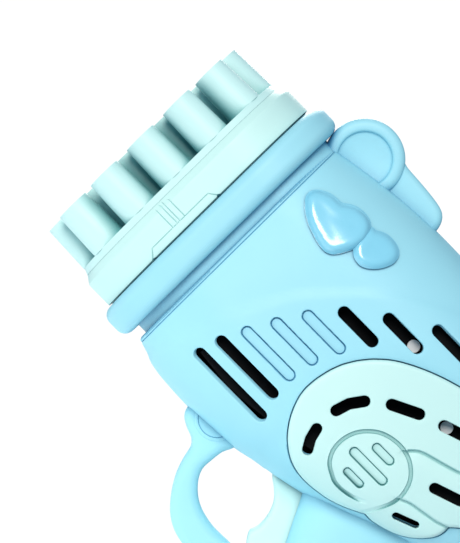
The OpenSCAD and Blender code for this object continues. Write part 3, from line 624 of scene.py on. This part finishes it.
def case_shell_part(holes):
    """Half of the case as a closed wall, from its front edge to the rear cover."""
    well = (-28.0, -3.0)
    x = np.arange(CASE_REAR, CASE_FRONT + 0.1, 2.2)
    x = np.append(x[:-1], CASE_FRONT)
    low = [(a, -V_MAX) for a in x if a < well[0]] + [(well[0], -V_MAX)]
    low += [(a, float(well_v(a))) for a in np.linspace(well[0], well[1], 14)]
    low += [(well[1], -V_MAX)] + [(a, -V_MAX) for a in x if a > well[1]]
    rows = np.linspace(-V_MAX, V_MAX, 80)
    outline = low + [(CASE_FRONT, b) for b in rows[1:]] + [(a, V_MAX) for a in x[::-1][1:]]
    outline += [(CASE_REAR, b) for b in rows[::-1][1:-1]]
    cut = [unroll(slot_ring(s, 0)) for s in THRU + holes]
    rings = [unroll(slot_ring(s, g)) for s in THRU + holes for g in HOLE_STEPS]
    rings += [unroll(slot_ring(s, g)) for s in BLIND for g in RIM_STEPS]
    edge = np.array([0.12, 0.35, 0.7, 1.1, 1.6])
    loose = grid_points((CASE_REAR, CASE_FRONT, -V_MAX, V_MAX), 2.2, 2.15,
                        np.concatenate([CASE_FRONT - edge, CASE_REAR + edge[:3], LIP_X + FINE]),
                        np.concatenate([V_MAX - edge[:3], edge[:3] - V_MAX]))
    flank = case_surface(loose)[:, [0, 2]]
    loose = loose[line_distance(flank, WING_LINE, True)[0] > 1.3]
    for g in WING_GAP_STEPS:
        ring = WING_LINE - inward(WING_LINE) * g
        away, _ = line_distance(ring, WING_LINE, True)
        loose = np.concatenate([loose, unroll(ring[away > abs(g) * 0.9])])
    near = case_surface(loose)[:, [0, 2]]
    keep = inside(loose, np.array(outline))
    for s in THRU + holes + BLIND:
        keep &= slot_edge(near, s) > 0.9
    return solid_sheet(np.array(outline), cut, rings, loose[keep], case_top(holes), case_inner)


def band(i, j, n):
    """Faces between ring i and ring j of a mesh made of rings of n points."""
    return [(i * n + k, i * n + (k + 1) % n, j * n + (k + 1) % n, j * n + k) for k in range(n)]


def lathe_y(x, h, profile, sides=72):
    """Closed solid turned about a line along y: profile is a closed list of (radius, y)."""
    verts, faces = [], []
    for i in range(sides):
        a = 2 * math.pi * i / sides
        verts += [(x + r * math.cos(a), y, h + r * math.sin(a)) for r, y in profile]
        faces += band(i, (i + 1) % sides, len(profile))
    return np.array(verts), faces


def arc_profile(cx, cy, r, a0, a1, k=8):
    """Points along an arc, angles in degrees."""
    return [(cx + r * math.cos(math.radians(a)), cy + r * math.sin(math.radians(a)))
            for a in np.linspace(a0, a1, k)]


def ear_part():
    """Half of the round ear with its dished face."""
    x, h, r, y, dish = EAR
    top = [(0.02, 0), (r, 0)] + arc_profile(r - 3.2, y - 3.2, 3.2, 0, 90)
    top += arc_profile(dish + 1.4, y - 1.4, 1.4, 90, 180, 6)
    top += [(dish - 0.3, y - 1.7), (dish - 0.9, y - 1.9), (0.02, y - 1.9)]
    return lathe_y(x, h, top)


def fill_points(q, rim, shares, spacing, clear):
    """Points inside a closed line: rows that follow its rounded rim, then an even grid."""
    n = inward(q)
    sets = []
    for share in shares:
        ring = q + n * rim * share
        away, _ = line_distance(ring, q, True)
        sets.append(ring[(away > rim * share * 0.93) & inside(ring, q)])
    lo, hi = q.min(0), q.max(0)
    grid = grid_points((lo[0], hi[0], lo[1], hi[1]), spacing, spacing)
    grid = grid[inside(grid, q)]
    return sets + [grid[line_distance(grid, q, True)[0] > rim + clear]]


def plate_part(outline, half, r, holes=(), spacing=2.2, both=False):
    """Plate from y = 0 (or both ways) to half, with its rim rounded to radius r."""
    q = spline(outline, True, 1.3)
    loose = np.concatenate(fill_points(q, r, (0.03, 0.12, 0.3, 0.55, 0.8, 1.0), spacing, 0.5))
    rings = [slot_ring(s, g) for s in holes for g in PLATE_HOLE_STEPS]
    for s in holes:
        loose = loose[slot_edge(loose, s) > 1.0]

    def height(p):
        d, _ = line_distance(p, q, True)
        d = np.where(d < 1e-4, 0, d)
        y = half - round_over(d, r)
        for s in holes:
            y = y - round_over(slot_edge(p, s), 0.6)
        return y

    def top(p):
        return np.stack([p[:, 0], height(p), p[:, 1]], 1)

    def bottom(p):
        return np.stack([p[:, 0], -height(p) if both else 0 * p[:, 0], p[:, 1]], 1)
    return solid_sheet(q, [slot_ring(s, 0) for s in holes], rings, loose, top, bottom)


def grip_surface(p):
    """(angle in degrees from the front, z above the floor) to 3-D, +y side."""
    a, z = np.radians(np.clip(p[:, 0], 0, 180)), p[:, 1]
    f, k, w = front_at(z), back_at(z), half_at(z)
    u, v = np.cos(a), np.sin(a)
    x = (f + k) / 2 + (f - k) / 2 * np.sign(u) * np.abs(u) ** 0.8
    return np.stack([x, w * np.maximum(v, 0) ** 0.8, z - AXIS], 1)


def grip_unroll(p):
    """Side-view points (x, height) to (angle, z above the floor)."""
    x, z = p[:, 0], p[:, 1] + AXIS
    f, k = front_at(z), back_at(z)
    u = np.clip((x - (f + k) / 2) / ((f - k) / 2), -1, 1)
    return np.stack([np.degrees(np.arccos(np.sign(u) * np.abs(u) ** 1.25)), z], 1)


def grip_normals(p):
    """Unit normals of the grip, pointing outwards."""
    q = p.copy()
    q[:, 0] = np.clip(q[:, 0], 4, 176)
    n = normals(grip_surface, q, 0.2)
    out = grip_surface(q)
    flip = np.where((out[:, 1] * n[:, 1] + (out[:, 0] - (front_at(q[:, 1]) + back_at(q[:, 1])) / 2)
                     * n[:, 0]) < 0, -1, 1)
    return n * flip[:, None]


def grip_part(holes):
    """Half of the hollow grip, open at the front where the trigger works."""
    top_z, well = 116.0, (56.6, 112.0)
    zs = np.arange(FOOT_H, top_z, 2.4)
    zs = np.append(zs, top_z)

    def notch(z):
        return float(np.degrees(np.arcsin(np.clip(WELL_HALF / half_at(z), 0, 1) ** 1.25)))
    front = [(0, z) for z in zs if z < well[0]] + [(0, well[0]), (notch(well[0]), well[0])]
    front += [(notch(z), z) for z in zs if well[0] + 1 < z < well[1]]
    front += [(notch(well[1]), well[1]), (0, well[1])] + [(0, z) for z in zs if z > well[1]]
    cols = np.linspace(0, 180, 46)
    outline = front + [(a, top_z) for a in cols[1:]] + [(180, z) for z in zs[::-1][1:]]
    outline += [(a, FOOT_H) for a in cols[::-1][1:-1]]
    outline = np.array(outline)
    loose = grid_points((0, 180, FOOT_H, top_z), 4, 2.4, [1, 2.5, 177.5, 179], [FOOT_H + 0.3, FOOT_H + 0.8])
    loose = loose[inside(loose, outline)]
    near = grip_surface(loose)[:, [0, 2]]
    for s in holes:
        loose, near = loose[slot_edge(near, s) > 1], near[slot_edge(near, s) > 1]

    def top(p):
        base = grip_surface(p)
        off = -round_over(p[:, 1] - FOOT_H, 0.5)
        for s in holes:
            off = off - round_over(slot_edge(base[:, [0, 2]], s), 0.5)
        edge = np.minimum(p[:, 0], 180 - p[:, 0]) * 0.35
        off = off - round_over(edge, 0.35)
        out = base + grip_normals(p) * off[:, None]
        out[:, 1] = np.where(edge < 1e-6, 0, np.maximum(out[:, 1], 0))
        return out

    def bottom(p):
        out = grip_surface(p) - grip_normals(p) * WALL
        out[:, 1] = np.where(np.minimum(p[:, 0], 180 - p[:, 0]) < 1e-6, 0, np.maximum(out[:, 1], 0))
        return out
    rings = [grip_unroll(slot_ring(s, g)) for s in holes for g in PLATE_HOLE_STEPS]
    return solid_sheet(outline, [grip_unroll(slot_ring(s, 0)) for s in holes], rings, loose, top, bottom)


def knuckle_part():
    """Round boss where the finger guard leaves the keel."""
    x, h, r, y = KNUCKLE
    face = [(0.02, 0), (r, 0)] + arc_profile(r - 0.8, y - 0.8, 0.8, 0, 90, 5)
    face += [(r - 1.5, y), (r - 1.75, y - 0.35), (r - 2.0, y - 0.1), (r - 2.6, y - 0.05), (0.02, y - 0.05)]
    return lathe_y(x, h, face, 96)


def screw_cup(x, h, seat, reach):
    """Tube that a case screw sits in, from its seat out into the wall."""
    return lathe_y(x, h, [(SCREW_R, seat - 3), (CUP_R, seat - 3), (CUP_R, reach), (CUP_BORE, reach),
                          (CUP_BORE, seat), (SCREW_R, seat)], 40)


def flank_y(x, h):
    """Half width of the case at x and height h."""
    return float(case_surface(unroll(np.array([[x, h]], float)))[0, 1])


def shell(name, node, mirror):
    """One case half with its ear, grip, guard and, on the right, its screw cups."""
    under = [(*s[:-1], s[-1] + 2.0) for s in WING_SLOTS]
    dots = [(q, q, SCREW_HOLE) for q in SCREWS] if mirror else []
    guard_dots = [(GUARD_SCREW, GUARD_SCREW, SCREW_HOLE)] if mirror else []
    grip_dots = [(q, q, SCREW_HOLE) for q in GRIP_SCREWS] if mirror else []
    parts = [case_shell_part(under + dots), ear_part(), grip_part(grip_dots),
             plate_part(BUMP, EAR[3] - 2.2, 3.0),
             plate_part(GUARD, GUARD_Y, 4.2, guard_dots), knuckle_part()]
    if mirror:
        for x, h in SCREWS:
            reach = min(flank_y(x, h + CUP_R), flank_y(x, h - CUP_R)) - 0.9
            parts.append(screw_cup(x, h, SEAT_Y, reach))
        for x, h in GRIP_SCREWS:
            parts.append(screw_cup(x, h, GRIP_SEAT_Y, float(half_at(h + AXIS)) - 1.6))
    obj = piece(name, parts, BLUE, "case", mirror)
    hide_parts(node)


shell("left_shell_skin", "left_shell", False)
shell("right_shell_skin", "right_shell", True)


# ------------------------------------------------ side panels and badges
def raised(side, off):
    """Points of the case skin raised by off, at given side-view positions."""
    q = side.copy()
    for _ in range(7):
        p = unroll(q)
        out = case_surface(p) + normals(case_surface, p) * off[:, None]
        q = q + (side - out[:, [0, 2]]) * 0.9
    return np.stack([side[:, 0], out[:, 1], side[:, 1]], 1)


def panel_sheet(line, cut, blind, lift, rim, spacing=1.9, fields=()):
    """Closed panel on the flank: line and slots in the side view, lift(side view, edge distance)."""
    q = np.asarray(line)
    rows = fill_points(q, rim, (0.04, 0.14, 0.3, 0.55, 0.8, 1.05), spacing, 0.4)
    loose = np.concatenate(rows + list(fields))
    for s in cut + blind:
        loose = loose[slot_edge(loose, s) > 0.85]
    rings = [slot_ring(s, g) for s in cut for g in HOLE_STEPS]
    rings += [slot_ring(s, g) for s in blind for g in RIM_STEPS]

    def top(side):
        d, _ = line_distance(side, q, True)
        d = np.where(d < 2e-3, 0, d)
        off = lift(side, d)
        for s in blind:
            off = off - blind_depth(slot_edge(side, s))
        for s in cut:
            e = slot_edge(side, s)
            off = off - np.where(e < 0.5, round_over(e, 0.5), 0)
        return raised(side, np.maximum(off, PANEL_IN + 0.15))

    def bottom(side):
        return raised(side, np.full(len(side), PANEL_IN))
    return solid_sheet(q, [slot_ring(s, 0) for s in cut], rings, loose, top, bottom)


GROOVE_STEPS = (-1.3, -0.95, -0.77, -0.6, -0.3, 0.0, 0.3, 0.6, 0.77, 0.95, 1.3)
SPIRAL_LINE = spline(SPIRAL, closed=False, step=0.5)


def wing_lift(side, d):
    """Height of the wing panel: rounded rim, feather valleys and the groove round the hub."""
    off = WING_T - round_over(d, 1.8)
    for valley in VALLEYS:
        curve = spline(valley, closed=False, step=2)
        away, s = line_distance(side, curve)
        lower = np.where(s > 0, away, 1e9)
        upper = np.where(s <= 0, away, 1e9)
        off = off - 0.9 * (1 - ease(upper / 6.5)) - 0.8 * (1 - ease(upper / 1.2))
        off = off - 1.7 * (1 - ease(lower / 0.8))
    away, _ = line_distance(side, SPIRAL_LINE)
    fade = ease(np.linalg.norm(side - SPIRAL_LINE[0], axis=1) / 11)
    return off - GROOVE_D * fade * (1 - ease((away - GROOVE_W / 2) / 0.35))


def wing(name, node, mirror):
    """Wing panel of one side."""
    lines = []
    for curve in [spline(v, closed=False, step=0.5) for v in VALLEYS] + [SPIRAL_LINE]:
        t = np.gradient(curve, axis=0)
        t /= np.linalg.norm(t, axis=1)[:, None]
        n = np.stack([-t[:, 1], t[:, 0]], 1)
        lines += [curve + n * g for g in GROOVE_STEPS]
    extra = np.concatenate(lines)
    extra = extra[inside(extra, WING_LINE)]
    extra = extra[line_distance(extra, WING_LINE, True)[0] > 0.5]
    sheet = panel_sheet(WING_LINE, WING_SLOTS, HUB_SLOTS, wing_lift, 1.6, fields=[extra])
    obj = piece(name, [sheet], MINT, "case", mirror)
    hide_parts(node)


wing("wing_panel_left_skin", "wing_panel_left", False)
wing("wing_panel_right_skin", "wing_panel_right", True)


def heart(name, node, points, puff, mirror):
    """Puffy badge, puff high in its middle."""
    line = spline(points, True, 0.9)

    def lift(side, d):
        return puff * (1 - (1 - np.clip(d / 3.6, 0, 1)) ** 2.4) - 0.35 * ease((d - 3.0) / 5)
    obj = piece(name, [panel_sheet(line, [], [], lift, 2.4, 1.2)], BADGE, "case", mirror)
    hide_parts(node)


for tag, flip in (("left", False), ("right", True)):
    heart(f"heart_large_{tag}_skin", f"heart_large_{tag}", LARGE_HEART, HEART_T, flip)
    heart(f"heart_small_{tag}_skin", f"heart_small_{tag}", SMALL_HEART, HEART_T - 1.1, flip)


# ------------------------------------------------ nozzle cap
CAP_QUARTER = math.pi / 2 * CAP_R
CAP_ROUND = 4 * CAP_QUARTER + 4 * CAP_FLANK


def cap_point(x, s, r):
    """Point at length s round the cap's outline, starting at the top, at radius r of its end arcs."""
    half = CAP_ROUND / 2
    side = np.where(s > half, -1, 1)
    t = np.where(s > half, CAP_ROUND - s, s)
    up = np.clip(t / CAP_R, 0, math.pi / 2)
    down = np.clip((t - CAP_QUARTER - 2 * CAP_FLANK) / CAP_R, 0, math.pi / 2)
    y = r * np.where(t > CAP_QUARTER + 2 * CAP_FLANK, np.cos(down), np.sin(up))
    h = CAP_FLANK + r * np.cos(up) - np.clip(t - CAP_QUARTER, 0, 2 * CAP_FLANK) - r * np.sin(down)
    y = np.where((t < 1e-6) | (t > half - 1e-6), 0, y)
    return np.stack([x, side * y, h], 1)


def cap_length(h):
    """Length round the outline, on the left side, at which the cap has height h."""
    up = math.acos(min(1, (h - CAP_FLANK) / CAP_R)) * CAP_R if h > CAP_FLANK else CAP_QUARTER + CAP_FLANK - h
    if h < -CAP_FLANK:
        return CAP_QUARTER + 2 * CAP_FLANK + math.asin((-h - CAP_FLANK) / CAP_R) * CAP_R
    return up


def cap_part():
    """Wall of the nozzle cap, with the joint line behind it and the fine lines on its flanks."""
    xs = [CAP_REAR, CAP_REAR + CAP_GAP, CAP_REAR + CAP_GAP + 0.04, 94.9, 96, 98, 100, 102, 104,
          105.6, 106.2, 106.6, 107.0, 107.6, 108.6, 109.3, 109.7, CAP_FRONT]
    ss = np.linspace(0, CAP_ROUND, 164)
    outline = [(x, 0.0) for x in xs] + [(CAP_FRONT, s) for s in ss[1:-1]]
    outline += [(x, CAP_ROUND) for x in xs[::-1]] + [(CAP_REAR, s) for s in ss[::-1][1:-1]]
    loose = [(x, s) for x in xs[1:-1] for s in ss[1:-1]]
    marks = []
    lines = [np.array([(x, cap_length(h)) for x, h in line]) for line in CAP_MARKS]
    for q in lines:
        for a, b in zip(q[:-1], q[1:]):
            n = np.array([-(b - a)[1], (b - a)[0]]) / np.linalg.norm(b - a)
            k = max(2, int(np.linalg.norm(b - a) / 0.8))
            for g in (-0.32, -0.16, 0, 0.16, 0.32):
                for t in np.linspace(0, 1, k + 1):
                    marks.append(a + (b - a) * t + n * g)
    marks = np.array(marks)
    marks = marks[(marks[:, 0] > CAP_REAR + CAP_GAP + 0.1) & (marks[:, 0] < CAP_FRONT - 0.05)]
    both = marks.copy()
    both[:, 1] = CAP_ROUND - both[:, 1]

    def top(p):
        x = p[:, 0]
        r = np.interp(x, [CAP_REAR, 106.2, 106.6, 107.0, CAP_FRONT], [CAP_R, CAP_R, CAP_R - 0.1,
                                                                     CAP_R - 0.35, CAP_LIP])
        r = r - CAP_GAP_D * (x < CAP_REAR + CAP_GAP + 0.01) - round_over(CAP_FRONT - x, 0.3) * 0.6
        near = p.copy()
        near[:, 1] = np.minimum(near[:, 1], CAP_ROUND - near[:, 1])
        for q in lines:
            away, _ = line_distance(near, q)
            r = r - 0.34 * (1 - ease(away / 0.3))
        return cap_point(x, p[:, 1], r)

    def bottom(p):
        return cap_point(p[:, 0], p[:, 1], np.full(len(p), CAP_BORE))

    def seam(a, b):
        return (a[1] < 1e-6 and b[1] < 1e-6) or (a[1] > CAP_ROUND - 1e-6 and b[1] > CAP_ROUND - 1e-6)
    loose = np.array([q for q in loose if min(np.abs(marks - q).sum(1).min(),
                                              np.abs(both - q).sum(1).min()) > 0.5])
    loose = np.concatenate([loose, marks, both])
    return solid_sheet(np.array(outline), [], [], loose, top, bottom, seam)


cap = piece("nozzle_cap_skin", [cap_part()], MINT, "head")
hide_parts("nozzle_cap")


# ------------------------------------------------ trigger
TRIGGER_BLADE = plate_part(TRIGGER, TRIGGER_HALF, TRIGGER_ROUND, [(PIVOT, PIVOT, PIN_HOLE)], 2.0, True)
trigger = piece("trigger_skin", [TRIGGER_BLADE], MINT, "trigger")
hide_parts("trigger")


def coil_part(x0, x1, h, radius, wire, turns):
    """Compression spring along x, with a closed turn at each end."""
    steps, sides = 20, 10
    count = turns * steps
    verts, faces = [], []
    for i in range(count + 1):
        a = 2 * math.pi * i / steps
        t = min(max((i - steps * 0.8) / (count - steps * 1.6), 0), 1)
        x = x0 + wire + (x1 - x0 - 2 * wire) * t
        for k in range(sides):
            b = 2 * math.pi * k / sides
            r = radius + wire * math.cos(b)
            verts.append((x + wire * math.sin(b), r * math.cos(a), h + r * math.sin(a)))
    for i in range(count):
        faces += band(i, i + 1, sides)
    faces.append(tuple(range(sides))[::-1])
    faces.append(tuple(count * sides + k for k in range(sides)))
    return np.array(verts), faces


# Spring along x, which the trigger swings back onto; the coil is built at one fixed length.
SPRING_COIL = coil_part(SPRING_REAR, SPRING_FRONT, SPRING_H, SPRING_R, SPRING_WIRE, SPRING_TURNS)
spring = piece("trigger_spring_coil", [SPRING_COIL], STEEL, "case")
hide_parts("trigger_spring")
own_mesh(spring)


# ------------------------------------------------ rear cover
def rear_cover_part():
    """Rounded rear cap as one closed shell, open towards the battery bay."""
    xs = [CASE_REAR - 0.35, -112.6, -113.2, -115, -117.5, -120, -122.5, -125, -127, -129, -130.6, -132,
          -133.1, -133.9, -134.5, -134.85, -135]
    verts, faces = [], []
    rows = np.linspace(-V_MAX, V_MAX, 46)

    def ring(x, inward, pull=0.0):
        p = np.stack([np.full(len(rows), x), rows], 1)
        base = case_surface(p)
        w, _, low, high = section(np.array([x]))
        mid = (low[0] + high[0]) / 2
        scale = 1 - inward / max(w[0], inward + 0.3)
        tall = (top_at(x) - bottom_at(x)) / 2
        lift = 1 - inward / max(tall, inward + 0.3)
        out = [(x + pull, y * scale, mid + (z - mid) * lift) for _, y, z in base]
        return out + [(a, -b, c) for a, b, c in out[::-1][1:-1]]
    loops = [ring(x, 0.45 if i == 0 else (0.12 if i == 1 else 0)) for i, x in enumerate(xs)]
    inner = [ring(x, WALL, 2.0 if x < -130 else 0) for x in xs[:-3]]
    n = len(loops[0])
    for loop in loops + inner[::-1]:
        verts += loop
    total = len(loops) + len(inner)
    tip, deep = len(loops) - 1, len(loops)
    for i in range(total):
        if i != tip:
            faces += band(i, (i + 1) % total, n)
    faces.append(tuple(tip * n + k for k in range(n)))
    faces.append(tuple(deep * n + k for k in range(n))[::-1])
    return np.array(verts), faces


rear = piece("rear_cover_skin", [rear_cover_part()], BLUE, "cover")
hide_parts("rear_cover")


# ------------------------------------------------ looks of the carried-over nodes
LOOKS = {
    BLUE: ["front_bulkhead", "collar_ring", "grip_foot"],
    TUBE: ["tube_plate"],
    MINT: ["diffuser_plate"],
    BLACK: ["fan_housing", "air_duct", "motor_bracket", "baffle_left", "baffle_right", "switch_body",
            "battery_tray"],
    WHITE: ["impeller", "baffle_pegs"],
    RUBBER: ["head_seal"],
    RED: ["wiring", "switch_plunger"],
    GREEN: ["batteries"],
    CAN: ["motor"],
    STEEL: ["cover_screw", "case_screws", "motor_shaft", "motor_screws", "trigger_pin",
            "switch_screws", "front_contacts", "rear_contacts"],
}
for look, names in LOOKS.items():
    for node in names:
        obj = bpy.data.objects[node]
        if not obj.material_slots:
            obj.data.materials.append(look)
        for place in obj.material_slots:
            place.material = look


# ------------------------------------------------ floor, light and camera
FLOOR_R = 0.24          # metres
FLOOR_GLOW = 0.4
AMBIENT_TONE, AMBIENT = (0.50, 0.76, 1.0, 1), 0.34
BACKDROP = 1.05         # seen by the camera only
KEY_TONE, KEY_SIZE, KEY_WATTS = (1.0, 0.95, 0.88), 0.7, 16.4
floor_mesh = bpy.data.meshes.new("studio_floor")
rim = [(FLOOR_R * math.cos(a), FLOOR_R * math.sin(a), 0)
       for a in np.linspace(0, 2 * math.pi, 96, endpoint=False)]
floor_mesh.from_pydata(rim, [], [tuple(range(len(rim)))])
floor = bpy.data.objects.new("studio_floor", floor_mesh)
bpy.context.scene.collection.objects.link(floor)
paper = plastic("floor_paper", (0.95, 0.95, 0.95), 0.9, (0.94, 0.94, 0.94), 0.02)
set_inputs(paper.node_tree.nodes["Principled BSDF"], Emission_Color=(1, 1, 1, 1),
           Emission_Strength=FLOOR_GLOW)
floor_mesh.materials.append(paper)

world = bpy.data.worlds.new("studio")
bpy.context.scene.world = world
world.use_nodes = True
nodes, links = world.node_tree.nodes, world.node_tree.links
soft = nodes["Background"]
set_inputs(soft, Color=AMBIENT_TONE, Strength=AMBIENT)
seen = add_node(world.node_tree, "ShaderNodeBackground", Color=(1, 1, 1, 1), Strength=BACKDROP)
path = nodes.new("ShaderNodeLightPath")
both = nodes.new("ShaderNodeMixShader")
links.new(path.outputs["Is Camera Ray"], both.inputs[0])
links.new(soft.outputs[0], both.inputs[1])
links.new(seen.outputs[0], both.inputs[2])
links.new(both.outputs[0], nodes["World Output"].inputs["Surface"])

CENTRE = Vector((0.0, 0.0, 0.14))        # what the lights point at


def area_light(name, place, size, power, colour=(1, 1, 1)):
    """Round soft light that the camera doesn't see."""
    data = bpy.data.lights.new(name, "AREA")
    data.shape = "DISK"
    data.size = size
    data.energy = power
    data.color = colour
    obj = bpy.data.objects.new(name, data)
    obj.location = place
    obj.visible_camera = False
    obj.rotation_euler = (CENTRE - Vector(place)).to_track_quat("-Z", "Y").to_euler()
    bpy.context.scene.collection.objects.link(obj)


area_light("key", (0.5, 1.3, 0.62), KEY_SIZE, KEY_WATTS, KEY_TONE)
area_light("back_key", (0.5, -1.3, 0.62), KEY_SIZE, KEY_WATTS, KEY_TONE)
area_light("low_key", (0.0, 1.2, -0.55), 0.35, 0.5)

# The camera looks square at the left flank, rolled so that the muzzle points up and to the left.
LENS_MM, SENSOR_MM = 122.3, 24.0
DISTANCE = 1.19         # metres from the mid-plane
ROLL = math.radians(45.5)
AIM = Vector((0.0684, 0, 0.1376))
camera_data = bpy.data.cameras.new("camera")
camera = bpy.data.objects.new("camera", camera_data)
bpy.context.scene.collection.objects.link(camera)
bpy.context.scene.camera = camera
camera_data.sensor_fit = "VERTICAL"
camera_data.sensor_height = SENSOR_MM
camera_data.lens = LENS_MM
camera_data.clip_start = 0.05
camera_data.clip_end = 20
camera.matrix_world = (Matrix.Translation(AIM + Vector((0, DISTANCE, 0))) @ Matrix.Rotation(math.pi, 4, "Z")
                       @ Matrix.Rotation(math.pi / 2, 4, "X") @ Matrix.Rotation(ROLL, 4, "Z"))
bpy.context.scene.view_settings.view_transform = "Standard"
